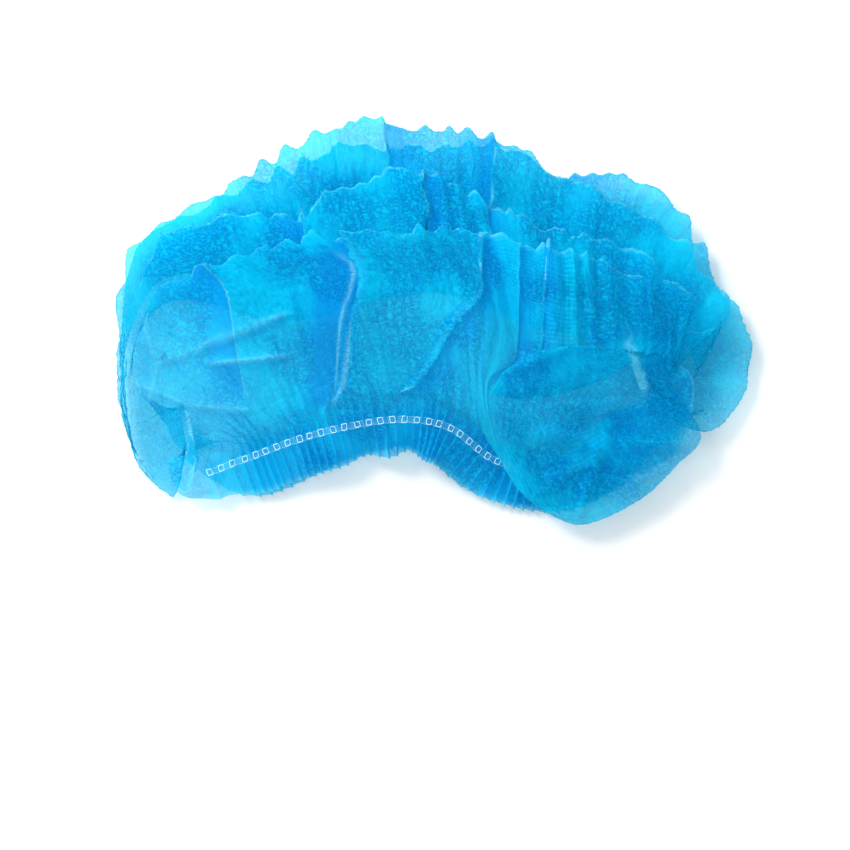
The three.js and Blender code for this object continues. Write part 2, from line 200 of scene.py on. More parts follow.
def fold_hollow(before, after, depth, s):
    """The inner edge of a fold: back from between two crests towards the mouth, and a little lower."""
    middle = (before + after) / 2
    back = (front_rim(u) - middle) * [1, 1, 0]
    back /= np.linalg.norm(back, axis=1, keepdims=True)
    fold = openness(u - 0.06, 0.2)[:, None]
    return from_weld(s, 0.04, middle + (back * depth - [0, 0, FOLD_DROP]) * fold)


def section_lines():
    """The lines of the cloth from the front edge over the folds to the back edge, for every u."""
    crests = [cloth_line(k, AT_WELD[i])(u) for k, i in
              ((CREST_A, 6), (CREST_B, 8), (CREST_C, 10), (CREST_D, 12))]
    a, b, c, d = crests
    droop = 18 + 22 * (np.exp(-(((u - 0.325) / 0.03) ** 2)) + np.exp(-(((u - 0.415) / 0.03) ** 2)))
    front_edge = from_weld(AT_WELD[0], 0.02, ruffle_edge(front_rim, RUFFLE, droop))
    back_edge = ruffle_edge(back_rim, BACK_RUFFLE, 0 * u)
    back_edge[:, 2] = FLOOR + 1
    back_edge = from_weld(AT_WELD[16], 0.05, back_edge)
    rise = from_weld(AT_WELD[2], 0.05, front_rim(u) - out_of(front_rim) * RISE + [0, 0, RISE / 2])

    def under(share, s):
        flat = d * (1 - share) + back_rim(u) * share
        flat[:, 2] = FLOOR
        return from_weld(s, 0.08, flat)

    return np.stack([
        front_edge, front_rim(u), rise, cloth_line(BULGE, AT_WELD[3])(u),
        cloth_line(FLAP_CREST, AT_WELD[4])(u), cloth_line(FLAP_HOLLOW, AT_WELD[5])(u),
        a, fold_hollow(a, b, FOLD_DEPTH[0], AT_WELD[7]),
        b, fold_hollow(b, c, FOLD_DEPTH[1], AT_WELD[9]),
        c, fold_hollow(c, d, FOLD_DEPTH[2], AT_WELD[11]),
        d, under(0.33, AT_WELD[13]), under(0.67, AT_WELD[14]), back_rim(u), back_edge,
    ])


def section_grid(lines):
    """The cloth as a smooth grid: cubics from line to line, turning tightly at each crest and hollow."""
    before, after = np.concatenate([lines[:1], lines[:-1]]), np.concatenate([lines[1:], lines[-1:]])
    arrive, leave = lines - before, after - lines
    reach_in, reach_out = (np.linalg.norm(x, axis=2, keepdims=True) for x in (arrive, leave))
    turn = -(arrive * leave).sum(2, keepdims=True) / np.maximum(reach_in * reach_out, 1e-6)
    folded = smoothstep(turn, -0.2, 0.6)
    folded[:4] = folded[13:] = 0
    down = np.minimum(FOLD_ROUNDNESS, 0.45 * np.minimum(reach_in, reach_out)) * [0, 0, -1.0]
    slopes = (after - before) / 2 * (1 - folded) + down * folded
    rows, places = [], []
    for k, steps in enumerate(STEPS):
        for t in np.arange(steps) / steps:
            t = t + 0.12 * np.sin(2 * np.pi * t) / (-2 * np.pi)
            rows.append(hermite(lines[k], slopes[k], lines[k + 1], slopes[k + 1], t))
            places.append(k + t)
    rows.append(lines[-1])
    places.append(len(STEPS))
    return np.array(rows), np.array(places)


rng = np.random.default_rng(11)


def ripple(share, low, high, count):
    """A seeded sum of sine waves between two frequencies along the elastic, about 1 high."""
    f = rng.uniform(low, high, count)
    phase = rng.uniform(0, 2 * np.pi, count)
    return np.sin(2 * np.pi * f * share[..., None] + phase).sum(-1) / np.sqrt(count)


def crease(x, sharp=0.93):
    """A sine wave with its crests and troughs sharpened into creases."""
    return np.arcsin(sharp * np.sin(x)) / np.arcsin(sharp)


lines = section_lines()
grid, place = section_grid(lines)
V, U = np.meshgrid(place, u, indexing="ij")


def near(line, spread):
    """1 at a line of the section, falling to 0 at a distance from it."""
    return np.exp(-(((V - line) / spread) ** 2))


# The cloth is longer than its elastics. Beside them it stands in tight pleats, at the crests of the
# folds in rounder ones, and what is left over buckles into puffs and small wrinkles between. The cut
# cloth is given in metres and the rest in mm.
CLOTH_LENGTH, CLOTH_WIDTH = 0.53, 0.50
PLEATS, SCALLOPS = 60, 21
PLEAT_HEIGHT, PLEAT_LEAN, PLEAT_REACH = 1.5, 1.4, 0.5
SCALLOP_REACH, SCALLOP_HEIGHT = 1.9, 1.6
# Folds that lap over their neighbour, each as (section line, share u) at its two ends, the mm that it
# laps, and the side that lies on top: -1 for the one at lower u.
LAPS = [
    ((6.0, 0.39), (2.6, 0.325), 5.5, 1), ((6.1, 0.60), (2.4, 0.40), 5.5, -1),
    ((5.2, 0.345), (2.3, 0.275), 3.0, 1), ((5.4, 0.37), (2.5, 0.298), 3.0, 1),
    ((6.0, 0.66), (4.2, 0.60), 3.2, -1), ((6.0, 0.72), (4.2, 0.66), 3.0, -1),
    ((6.0, 0.20), (3.4, 0.17), 2.4, 1), ((8.0, 0.33), (6.6, 0.31), 3.0, 1),
    ((8.0, 0.52), (6.6, 0.50), 3.0, -1), ((8.0, 0.63), (6.5, 0.62), 2.6, -1),
    ((10.0, 0.45), (8.6, 0.45), 3.0, -1), ((10.0, 0.60), (8.6, 0.60), 2.6, 1),
    ((12.0, 0.38), (10.6, 0.38), 2.8, 1), ((12.0, 0.66), (10.6, 0.66), 2.6, -1),
]
LAP_SHARE = 0.0125  # how far along the elastic a lap draws the cloth in
RIDGE_GAIN = 2.4  # a crease stands this much higher than its row says, to outlast the simulation
# Creases over the front panel and the right lobe, each as x, y of its two ends, height and spread in mm.
CREASES = [
    (-128, -19, -68, 4, 2.2, 3.0), (-105, -19, -66, -15, 2.0, 2.6), (-141, -26, -113, -38, 2.4, 3.0),
    (-113, -38, -85, -40, 2.0, 3.0), (-140, 20, -128, -19, 1.6, 3.2), (-128, -19, -136, -62, 1.6, 3.0),
    (29, -24, 82, -2, 1.6, 2.6), (64, -38, 97, -39, 2.4, 2.4), (75, -56, 66, -88, 1.8, 2.6),
    (75, -56, 95, -76, 2.0, 2.6), (75, -56, 117, -56, 1.8, 2.6), (75, -56, 44, -50, 1.8, 2.6),
    (75, -56, 48, -76, 1.6, 2.6), (75, -56, 84, -36, 1.8, 2.2), (100, 20, 138, -10, 1.8, 3.0),
    (112, 0, 128, -44, 1.8, 3.0), (88, 34, 118, 26, 1.4, 3.0),
]

gathered = openness(U, 0.05)
pleat_angle = 2 * np.pi * PLEATS * U + 1.3 * ripple(U, 5, 12, 6)
at_rims = np.interp(V, [0, 1, 1.5, 2, 2.7, 14, 14.6, 15, 16], [1, 1, 1.1, 0.8, 0, 0, 0.8, 1, 1])
ruffle = np.interp(V, [0, 1, 15, 16], [1.15, 0, 0, 1.15])
tangent = np.gradient(grid, axis=1)
tangent /= np.maximum(np.linalg.norm(tangent, axis=2, keepdims=True), 1e-6)
out = (grid - front_rim(u)[None]) * [1, 1, 0]
out /= np.maximum(np.linalg.norm(out, axis=2, keepdims=True), 1e-6)
up = np.array([0, 0, 1.0])

pleats = (at_rims * gathered)[..., None]
grid = grid + pleats * (
    PLEAT_HEIGHT * crease(pleat_angle, 0.985)[..., None] * up
    + PLEAT_LEAN * np.cos(pleat_angle)[..., None] * tangent
    + (PLEAT_REACH * ruffle * crease(pleat_angle + 0.6, 0.9))[..., None] * out
)
loose = crease(pleat_angle / 2 + 0.8 * ripple(U, 3, 9, 5), 0.9)
grid = grid + (1.5 * np.interp(V, [1.4, 2, 2.5, 3.2], [0, 1, 1, 0]) * gathered * loose)[..., None] * up


def lap(start, end, depth, side):
    """A fold lapped over its neighbour: cloth drawn across the fold line from both sides, one side up.

    Also a mask of the fold line, painted as a highlight, and a mask of the two layers on its lower side,
    painted as shade."""
    at = np.interp(V, [end[0], start[0]], [end[1], start[1]])
    fade = smoothstep(V, end[0] - 0.25, end[0] + 0.25) * smoothstep(-V, -start[0] - 0.3, -start[0] + 0.1)
    off = (U - at) / LAP_SHARE
    pull = -off * np.exp(0.5 - off**2 / 2) * fade
    move = (depth * pull)[..., None] * tangent + (-0.35 * depth * side * pull)[..., None] * up
    doubled_shade = smoothstep(-off * side, 0, 0.4) * np.exp(-((off / 3.2) ** 2))
    return move, fade * np.exp(-((off / 0.3) ** 2)), fade * doubled_shade


def ridge(x0, y0, x1, y1, height, spread):
    """The height of a crease over a straight line in plan, sharp on the line and fading to its ends.

    Also a mask of the line itself, painted as a highlight, and a mask of the two layers on one side of it,
    painted as shade."""
    dx, dy = x1 - x0, y1 - y0
    length = np.hypot(dx, dy)
    along = ((grid[..., 0] - x0) * dx + (grid[..., 1] - y0) * dy) / length
    side = ((grid[..., 0] - x0) * dy - (grid[..., 1] - y0) * dx) / length
    off = np.abs(side)
    ends = smoothstep(along, -3, 6) * smoothstep(length - along, -3, 6)
    rise = RIDGE_GAIN * height * ends * (np.exp(-off / spread) - 0.35 * np.exp(-off / (3 * spread)))
    line = np.exp(-((off / (0.4 * spread)) ** 2))
    doubled_shade = smoothstep(side, 0, 1.5) * np.exp(-off / 6)
    return rise, ends * line, ends * doubled_shade


laps = [lap(*fold) for fold in LAPS]
grid = grid + sum(move for move, line, doubled_shade in laps)
on_top = np.interp(V, [1.6, 2.2, 6, 6.4, 7, 11.4, 12], [0, 1, 1, 0.6, 0.2, 0.2, 1]) * (V < 12.3)
ridges = [ridge(*line) for line in CREASES]
grid = grid + (on_top * sum(rise for rise, line, doubled_shade in ridges))[..., None] * up
# Painted highlights along the creases of the left half and along the lap lines, which also make the cloth
# more solid there.
dense_highlit_lines = sum(line for rise, line, doubled_shade in ridges) * on_top * (U < 0.5) * 0.7
dense_highlit_lines = dense_highlit_lines + sum(line for move, line, doubled_shade in laps)
# Painted shade on the two-layer side of each lap and crease, and in the gathers above the front elastic;
# it also makes the cloth more solid there.
doubled_cloth_shade = sum(doubled_shade for move, line, doubled_shade in laps)
doubled_cloth_shade = doubled_cloth_shade + 0.6 * on_top * sum(doubled_shade for rise, line, doubled_shade in ridges)
doubled_cloth_shade = doubled_cloth_shade + np.interp(V, [1.2, 2.6], [0.5, 0]) * gathered
scallop_angle = 2 * np.pi * SCALLOPS * U + 2.2 * ripple(U, 2, 6, 5) + 1.3 * V
at_crests = sum(near(line, 0.25) for line in (6, 8, 10, 12)) * gathered
at_crests = at_crests * (0.5 + 0.7 * np.abs(ripple(U + 0.01 * V, 2, 9, 5)))
teeth = 0.8 * at_crests * crease(2 * np.pi * 43 * U + 2.5 * ripple(U + 0.02 * V, 4, 11, 6), 0.97)
folds_down = np.interp(V, [3, 4, 4.6, 5.2, 6, 6.5, 7, 13], [0, 0.6, 0.3, 0.55, 1, 0.6, 0.5, 0])
folds_down = folds_down * gathered
grid = grid + (SCALLOP_REACH * at_crests * np.cos(scallop_angle) + teeth)[..., None] * out
grid = grid + (SCALLOP_HEIGHT * folds_down * crease(scallop_angle + 0.9, 0.9))[..., None] * up
grid = grid + (0.25 * gathered * ripple(U + 0.003 * V, 30, 90, 12))[..., None] * up
grid[..., 2] = np.maximum(grid[..., 2], FLOOR)


def cloth_mesh(name, points, flat):
    """A grid of points in mm made into a mesh in metres, with a UV map of the uncut cloth in metres."""
    rows, columns = points.shape[:2]
    index = np.arange(rows * columns).reshape(rows, columns)
    quads = np.stack([index[:-1, :-1], index[:-1, 1:], index[1:, 1:], index[1:, :-1]], -1).reshape(-1, 4)
    mesh = bpy.data.meshes.new(name)
    mesh.vertices.add(rows * columns)
    mesh.vertices.foreach_set("co", (points * MM).reshape(-1))
    mesh.loops.add(quads.size)
    mesh.loops.foreach_set("vertex_index", quads.reshape(-1).astype(np.int32))
    mesh.polygons.add(len(quads))
    mesh.polygons.foreach_set("loop_start", (np.arange(len(quads)) * 4).astype(np.int32))
    mesh.update(calc_edges=True)
    mesh.validate()
    mesh.polygons.foreach_set("use_smooth", np.ones(len(quads), bool))
    uv = mesh.uv_layers.new(name="cloth")
    uv.data.foreach_set("uv", flat.reshape(-1, 2)[quads.reshape(-1)].reshape(-1))
    piece = bpy.data.objects.new(name, mesh)
    bpy.context.collection.objects.link(piece)
    return piece


def weigh(piece, name, weights):
    """A vertex group of a piece from an array of weights, rounded to twentieths."""
    group = piece.vertex_groups.new(name=name)
    steps = np.round(weights.reshape(-1) * 20).astype(int)
    for k in np.unique(steps[steps > 0]):
        group.add(np.flatnonzero(steps == k).tolist(), k / 20, "REPLACE")
    return name


def buckled(piece, hold, spare, growth, frames):
    """The piece's points in mm after its cloth has grown by a share where spare is 1, held by hold."""
    modifier = piece.modifiers.new("cloth", "CLOTH")
    cloth = modifier.settings
    cloth.quality = 5
    cloth.tension_stiffness = cloth.compression_stiffness = 15
    cloth.bending_stiffness = 0.05
    cloth.vertex_group_mass = weigh(piece, "hold", hold)
    cloth.pin_stiffness = 20
    cloth.shrink_min, cloth.shrink_max = -growth, 0.0
    cloth.vertex_group_shrink = weigh(piece, "kept", 1 - spare)
    cloth.effector_weights.gravity = 0.0
    modifier.collision_settings.use_collision = False
    modifier.point_cache.frame_start, modifier.point_cache.frame_end = 1, frames
    scene = bpy.context.scene
    scene.frame_start, scene.frame_end = 1, frames
    for frame_number in range(1, frames + 1):
        scene.frame_set(frame_number)
    after = piece.evaluated_get(bpy.context.evaluated_depsgraph_get()).data.vertices
    points = np.empty(len(after) * 3, np.float32)
    after.foreach_get("co", points)
    scene.frame_set(1)
    bpy.data.objects.remove(piece)
    return points.reshape(hold.shape + (3,)).astype(float) / MM


row_gaps = np.percentile(np.linalg.norm(np.diff(grid, axis=0), axis=2), 70, axis=1)
across = np.r_[0, np.cumsum(row_gaps)] / row_gaps.sum()
flat_uv = np.stack([U * CLOTH_LENGTH, np.broadcast_to(across[:, None], U.shape) * CLOTH_WIDTH], -1)
crown = cloth_mesh("crown_cloth", grid, flat_uv)
GROWTH, SIMULATED_FRAMES, EASING_ROUNDS = 0.2, 3, 6
hold = (0.6 + 0.2 * at_crests.clip(0, 1) + 0.2 * (dense_highlit_lines + doubled_cloth_shade).clip(0, 1)).clip(0, 0.85)
hold[(at_rims > 0.95) | (U < 0.004) | (U > 0.996)] = 1
spare = (1 - at_rims).clip(0, 1) * openness(U, 0.03)
points = buckled(crown, hold, spare, GROWTH, SIMULATED_FRAMES)
# Where the lobe turns under, between the middle and the right, the sharpest wrinkles are eased out.
eased = (near(4.2, 1.5) * np.exp(-(((U - 0.6) / 0.05) ** 2)))[1:-1, 1:-1, None].clip(0, 0.9)
for _ in range(EASING_ROUNDS):
    around = points[:-2, 1:-1] + points[2:, 1:-1] + points[1:-1, :-2] + points[1:-1, 2:]
    points[1:-1, 1:-1] += eased * (around / 4 - points[1:-1, 1:-1])
points[..., 2] = np.maximum(points[..., 2], FLOOR)
crown = cloth_mesh("crown_cloth", points, flat_uv)
# How solid the cloth looks; painted highlights along its folds and over the right weld; and painted shade
# where it lies in two layers. The highlights and shade also make it more solid.
middle, along, outward = weld_frame(WELD_RIGHT)
beside = grid - middle - outward * WELD_WIDTH / 2
over_weld = np.exp(-((beside @ outward / 1.9) ** 4) - (beside @ along / (WELD_LENGTH / 2 - 1.5)) ** 12)
dense_highlit_lines = np.maximum(dense_highlit_lines, 0.9 * over_weld * (V < 6) * (U > 0.7))
# Painted highlights along the front ruffle's outer edge and the crests of the folds.
dense_highlit_lines = dense_highlit_lines + 0.8 * gathered * (near(0, 0.12) + sum(near(line, 0.05) for line in (6, 8, 10, 12)))
for name, values in (
    ("veil", (0.42 + 0.58 * openness(U, 0.22)) * (1 + 0.9 * (V < 1.3))),
    ("dense_highlit_lines", dense_highlit_lines.clip(0, 1)),
    ("doubled_shade", doubled_cloth_shade.clip(0, 1)),
):
    mask = crown.data.attributes.new(name, "FLOAT", "POINT")
    mask.data.foreach_set("value", values.reshape(-1))


def new_material(name):
    """A new material, emptied of nodes, with its nodes and links."""
    material = bpy.data.materials.new(name)
    material.use_nodes = True
    nodes, links = material.node_tree.nodes, material.node_tree.links
    nodes.clear()
    return material, nodes, links


def calculator(nodes, links):
    """A function that adds a Math node on two inputs, each a socket or a number, and gives its output."""

    def calculate(operation, first, second):
        node = nodes.new("ShaderNodeMath")
        node.operation = operation
        for socket, value in zip(node.inputs, (first, second)):
            if isinstance(value, (int, float)):
                socket.default_value = value
            else:
                links.new(value, socket)
        return node.outputs[0]

    return calculate


def nonwoven_group():
    """Masks of spun-bonded cloth in metres: fibre clumps, crinkle like little worms, and bond points."""
    tree = bpy.data.node_groups.new("spun_bonded", "ShaderNodeTree")
    for name, kind in (("Cloth", "NodeSocketVector"), ("Place", "NodeSocketVector"),
                       ("Clump size", "NodeSocketFloat")):
        tree.interface.new_socket(name=name, in_out="INPUT", socket_type=kind)
    for name in ("Clumps", "Crinkle", "Bonds"):
        tree.interface.new_socket(name=name, in_out="OUTPUT", socket_type="NodeSocketFloat")
    nodes, links = tree.nodes, tree.links
    calculate = calculator(nodes, links)
    given, made = nodes.new("NodeGroupInput"), nodes.new("NodeGroupOutput")
    bend = nodes.new("ShaderNodeTexNoise")
    bend.inputs["Scale"].default_value = 260
    bend.inputs["Detail"].default_value = 0
    links.new(given.outputs["Place"], bend.inputs["Vector"])
    moved = nodes.new("ShaderNodeVectorMath")
    moved.operation = "MULTIPLY_ADD"
    moved.inputs[1].default_value = (0.004, -0.003, 0.002)
    links.new(bend.outputs["Fac"], moved.inputs[0])
    links.new(given.outputs["Place"], moved.inputs[2])
    worms = nodes.new("ShaderNodeTexNoise")
    worms.inputs["Scale"].default_value = 440
    worms.inputs["Detail"].default_value = 1
    worms.inputs["Roughness"].default_value = 0.6
    links.new(moved.outputs[0], worms.inputs["Vector"])
    ridge = calculate("ABSOLUTE", calculate("SUBTRACT", worms.outputs[0], 0.5), 0.0)
    thin = calculate("MULTIPLY", ridge, 8.0)
    thin.node.use_clamp = True
    clumps = nodes.new("ShaderNodeTexNoise")
    clumps.noise_dimensions = "2D"
    clumps.inputs["Detail"].default_value = 3
    clumps.inputs["Roughness"].default_value = 0.65
    links.new(given.outputs["Cloth"], clumps.inputs["Vector"])
    links.new(calculate("DIVIDE", 1.0, given.outputs["Clump size"]), clumps.inputs["Scale"])
    links.new(clumps.outputs[0], made.inputs["Clumps"])
    patches = nodes.new("ShaderNodeTexNoise")
    patches.inputs["Scale"].default_value = 45
    patches.inputs["Detail"].default_value = 0
    links.new(given.outputs["Place"], patches.inputs["Vector"])
    where = calculate("SUBTRACT", calculate("MULTIPLY", patches.outputs[0], 5.0), 1.6)
    where.node.use_clamp = True
    worm = calculate("SUBTRACT", 1.0, thin)
    links.new(calculate("MULTIPLY", worm, where), made.inputs["Crinkle"])
    points = nodes.new("ShaderNodeTexVoronoi")
    points.voronoi_dimensions = "2D"
    points.inputs["Scale"].default_value = 900
    points.inputs["Randomness"].default_value = 0.25
    links.new(given.outputs["Cloth"], points.inputs["Vector"])
    far = calculate("MULTIPLY", points.outputs["Distance"], 2.4)
    dots = calculate("SUBTRACT", 1.0, far)
    dots.node.use_clamp = True
    links.new(dots, made.inputs["Bonds"])
    return tree


spun_bonded = nonwoven_group()
# The pale cyan of the painted highlights along the folds.
FOLD_HIGHLIGHT_TINT = (0.3, 0.93, 1.0)


def nonwoven_material(name, colour, light, clear, solidity, see_through, masks=None):
    """Thin dyed cloth: light scattered back, light let through, and what shows between its fibres.

    masks names the attributes for how solid it looks, its painted fold highlights and its painted shade
    where it lies in two layers."""
    material, nodes, links = new_material(name)
    calculate = calculator(nodes, links)
    uvs = nodes.new("ShaderNodeUVMap")
    uvs.uv_map = "cloth"
    fibres = nodes.new("ShaderNodeGroup")
    fibres.node_tree = spun_bonded
    fibres.inputs["Clump size"].default_value = 0.003
    links.new(uvs.outputs[0], fibres.inputs["Cloth"])
    links.new(nodes.new("ShaderNodeTexCoord").outputs["Object"], fibres.inputs["Place"])
    body = nodes.new("ShaderNodeBsdfPrincipled")
    tint = nodes.new("ShaderNodeMix")
    tint.data_type = "RGBA"
    tint.inputs["A"].default_value = (*light, 1)
    tint.inputs["B"].default_value = (*colour, 1)
    # The worm-like crinkle darkens the tint as painted shade of the cloth's fine wrinkles, besides their
    # bump.
    painted_shade = fibres.outputs["Crinkle"]
    surface = tint.outputs["Result"]
    if masks:
        solid, edge, doubled_shade_node = (nodes.new("ShaderNodeAttribute") for _ in masks)
        for node, mask in zip((solid, edge, doubled_shade_node), masks):
            node.attribute_name = mask
        # Painted shade where the cloth lies in two layers deepens the tint further.
        painted_shade = calculate("ADD", painted_shade, calculate("MULTIPLY", doubled_shade_node.outputs["Fac"], 0.9))
        painted_shade.node.use_clamp = True
        # Painted highlight: the colour is lightened towards pale cyan along the fold lines and over the
        # right weld.
        highlight_mix = nodes.new("ShaderNodeMix")
        highlight_mix.data_type = "RGBA"
        highlight_mix.inputs["B"].default_value = (*FOLD_HIGHLIGHT_TINT, 1)
        links.new(surface, highlight_mix.inputs["A"])
        links.new(calculate("MULTIPLY", edge.outputs["Fac"], 0.65), highlight_mix.inputs["Factor"])
        surface = highlight_mix.outputs["Result"]
    links.new(painted_shade, tint.inputs["Factor"])
    links.new(surface, body.inputs["Base Color"])
    body.inputs["Roughness"].default_value = 0.55
    body.inputs["Specular IOR Level"].default_value = 0.08
    # A faint blue emission makes the cloth glow as painted light.
    body.inputs["Emission Color"].default_value = (0.0, 0.42, 0.9, 1)
    body.inputs["Emission Strength"].default_value = 0.19
    body.inputs["Sheen Weight"].default_value = 0.7
    body.inputs["Sheen Roughness"].default_value = 0.3
    body.inputs["Sheen Tint"].default_value = (0.05, 0.85, 1.0, 1)
    height = calculate("ADD", calculate("MULTIPLY", fibres.outputs["Crinkle"], 0.6),
                  calculate("MULTIPLY", fibres.outputs["Bonds"], -0.25))
    bump = nodes.new("ShaderNodeBump")
    bump.inputs["Strength"].default_value = 0.8
    bump.inputs["Distance"].default_value = 0.002
    links.new(height, bump.inputs["Height"])
    links.new(bump.outputs[0], body.inputs["Normal"])
    low, high = solidity
    alpha = calculate("MULTIPLY", fibres.outputs["Clumps"], high - low)
    alpha = calculate("ADD", alpha, low + 0.06)
    if masks:
        alpha = calculate("MULTIPLY", alpha, solid.outputs["Fac"])
        more = calculate("MAXIMUM", edge.outputs["Fac"], doubled_shade_node.outputs["Fac"])
        alpha = calculate("ADD", alpha, calculate("MULTIPLY", more, 0.5))
    alpha.node.use_clamp = True
    links.new(alpha, body.inputs["Alpha"])
    glow = nodes.new("ShaderNodeBsdfTranslucent")
    glow.inputs["Color"].default_value = (*light, 1)
    through = nodes.new("ShaderNodeBsdfTransparent")
    through.inputs["Color"].default_value = (*clear, 1)
    inner, outer = nodes.new("ShaderNodeMixShader"), nodes.new("ShaderNodeMixShader")
    inner.inputs[0].default_value = 0.25
    links.new(body.outputs[0], inner.inputs[1])
    links.new(glow.outputs[0], inner.inputs[2])
    outer.inputs[0].default_value = see_through
    links.new(inner.outputs[0], outer.inputs[1])
    links.new(through.outputs[0], outer.inputs[2])
    output = nodes.new("ShaderNodeOutputMaterial")
    links.new(outer.outputs[0], output.inputs["Surface"])
    return material


crown.data.materials.append(nonwoven_material(
    "blue_nonwoven", colour=(0.0, 0.27, 0.78), light=(0.0, 0.78, 1.0), clear=(0.46, 0.86, 0.95),
    solidity=(0.15, 1.0), see_through=0.38, masks=("veil", "dense_highlit_lines", "doubled_shade")))
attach(crown, "root")
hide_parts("crown")

# ---- End welds ----
# At each end the cloth's two layers and the pleats between them are pressed together by a hot ribbed
# die into a stiff bar, which shows through the cloth as a paler stripe with cross ribs.
WELD_BAR, WELD_THICKNESS, WELD_RIBS, RIB_DEPTH = 25.0, 1.8, 17, 0.22


def merge_doubles(piece):
    """A piece's mesh with the points that lie together merged, which closes its seams and ends."""
    shape = bmesh.new()
    shape.from_mesh(piece.data)
    bmesh.ops.remove_doubles(shape, verts=shape.verts, dist=1e-6)
    bmesh.ops.recalc_face_normals(shape, faces=shape.faces)
    shape.to_mesh(piece.data)
    shape.free()


def weld_bar(weld):
    """A closed bar along a weld: a rounded oblong section whose width and thickness pulse at each rib."""
    middle, along, outward = weld_frame(weld)
    t, turn = np.meshgrid(np.linspace(-1, 1, 171), np.linspace(0, 2 * np.pi, 41), indexing="ij")
    cos, sin = np.cos(turn), np.sin(turn)
    ribs = RIB_DEPTH * (0.5 + 0.5 * crease(np.pi * WELD_RIBS * t, 0.95))
    taper = np.sqrt(1 - np.abs(t) ** 24)
    wide = (WELD_WIDTH / 2 - 0.4 * ribs) * taper * np.sign(cos) * np.abs(cos) ** 0.35
    high = (WELD_THICKNESS / 2 - ribs) * taper * np.sign(sin) * np.abs(sin) ** 0.5
    outwards = wide + WELD_WIDTH / 2
    return (
        middle + (t * WELD_BAR / 2)[..., None] * along + outwards[..., None] * outward
        + high[..., None] * np.array([0, 0, 1.0])
    )


fused = nonwoven_material(
    "fused_nonwoven", colour=(0.45, 0.88, 0.98), light=(0.7, 0.97, 1.0), clear=(0.8, 0.95, 1.0),
    solidity=(0.9, 1.1), see_through=0.05)
for name, weld in (("left_end_weld", WELD_LEFT), ("right_end_weld", WELD_RIGHT)):
    points = weld_bar(weld)
    t, turn = np.meshgrid(np.linspace(0, WELD_BAR * MM, 171), np.linspace(0, 10 * MM, 41), indexing="ij")
    bar = cloth_mesh(name + "_pressed", points, np.stack([t, turn], -1))
    merge_doubles(bar)
    bar.data.materials.append(fused)
    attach(bar, "root")
    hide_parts(name)

# ---- Elastics ----
# A flat white knitted elastic, 4 mm wide, is sewn stretched along each long side. Once let go it
# draws the cloth into pleats, and its own face closes up into fine cross ribs.
ELASTIC_WIDTH, ELASTIC_THICKNESS, ELASTIC_LIFT, ELASTIC_RIB = 3.4, 0.5, 1.3, 1.1
FRONT_ELASTIC_ENDS, BACK_ELASTIC_ENDS = (0.05, 0.8), (0.11, 0.83)


def elastic_frame(rim, share):
    """Points, directions along and out of the mouth, and distance in mm at each share of an elastic."""
    points = rim(share)
    along = np.gradient(points, axis=0)
    along /= np.linalg.norm(along, axis=1, keepdims=True)
    out = np.cross(along, [0, 0, 1.0])
    out /= np.linalg.norm(out, axis=1, keepdims=True)
    far = np.r_[0, np.cumsum(np.linalg.norm(np.diff(points, axis=0), axis=1))]
    return points, along, out, far


def elastic_band(rim, ends, lift):
    """A closed flat band along an elastic's line, its thickness pulsing at each cross rib."""
    share = np.linspace(*ends, 1100)
    points, along, out, far = elastic_frame(rim, share)
    turn = np.linspace(0, 2 * np.pi, 17)
    cos, sin = np.cos(turn), np.sin(turn)
    closed = np.minimum(1, np.minimum(far, far[-1] - far) / 0.3)[:, None]
    wide = ELASTIC_WIDTH / 2 * np.sign(cos) * np.abs(cos) ** 0.4 * closed
    ribs = 0.8 + 0.2 * np.cos(2 * np.pi * far / ELASTIC_RIB)[:, None]
    high = ELASTIC_THICKNESS / 2 * np.sign(sin) * np.abs(sin) ** 0.6 * closed * ribs
    over = np.cross(out, along)
    over *= np.sign(over[:, 2:])
    section = wide[..., None] * out[:, None] + high[..., None] * over[:, None]
    return points[:, None] + [0, 0, lift] + section, far


material, nodes, links = new_material("white_elastic")
place = nodes.new("ShaderNodeTexCoord")
knit = nodes.new("ShaderNodeTexNoise")
knit.inputs["Scale"].default_value = 1800
knit.inputs["Detail"].default_value = 2
links.new(place.outputs["Object"], knit.inputs["Vector"])
ramp = nodes.new("ShaderNodeValToRGB")
ramp.color_ramp.elements[0].color = (0.1, 0.6, 0.82, 1)
ramp.color_ramp.elements[1].color = (0.4, 0.85, 0.95, 1)
links.new(knit.outputs[0], ramp.inputs[0])
yarn = nodes.new("ShaderNodeBsdfPrincipled")
yarn.inputs["Roughness"].default_value = 0.7
yarn.inputs["Alpha"].default_value = 0.05
links.new(ramp.outputs[0], yarn.inputs["Base Color"])
bump = nodes.new("ShaderNodeBump")
bump.inputs["Strength"].default_value = 0.4
bump.inputs["Distance"].default_value = 0.0003
links.new(knit.outputs[0], bump.inputs["Height"])
links.new(bump.outputs[0], yarn.inputs["Normal"])
links.new(yarn.outputs[0], nodes.new("ShaderNodeOutputMaterial").inputs["Surface"])
white_elastic = material

for name, rim, ends, lift in (
    ("front_elastic", front_rim, FRONT_ELASTIC_ENDS, ELASTIC_LIFT),
    ("back_elastic", back_rim, BACK_ELASTIC_ENDS, -ELASTIC_LIFT),
):
    points, far = elastic_band(rim, ends, lift)
    points[..., 2] = np.maximum(points[..., 2], FLOOR)
    flat = np.stack(np.meshgrid(far * MM, np.linspace(0, 0.008, 17), indexing="ij"), -1)
    band = cloth_mesh(name + "_band", points, flat)
    merge_doubles(band)
    band.data.materials.append(white_elastic)
    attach(band, "root")
    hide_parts(name)

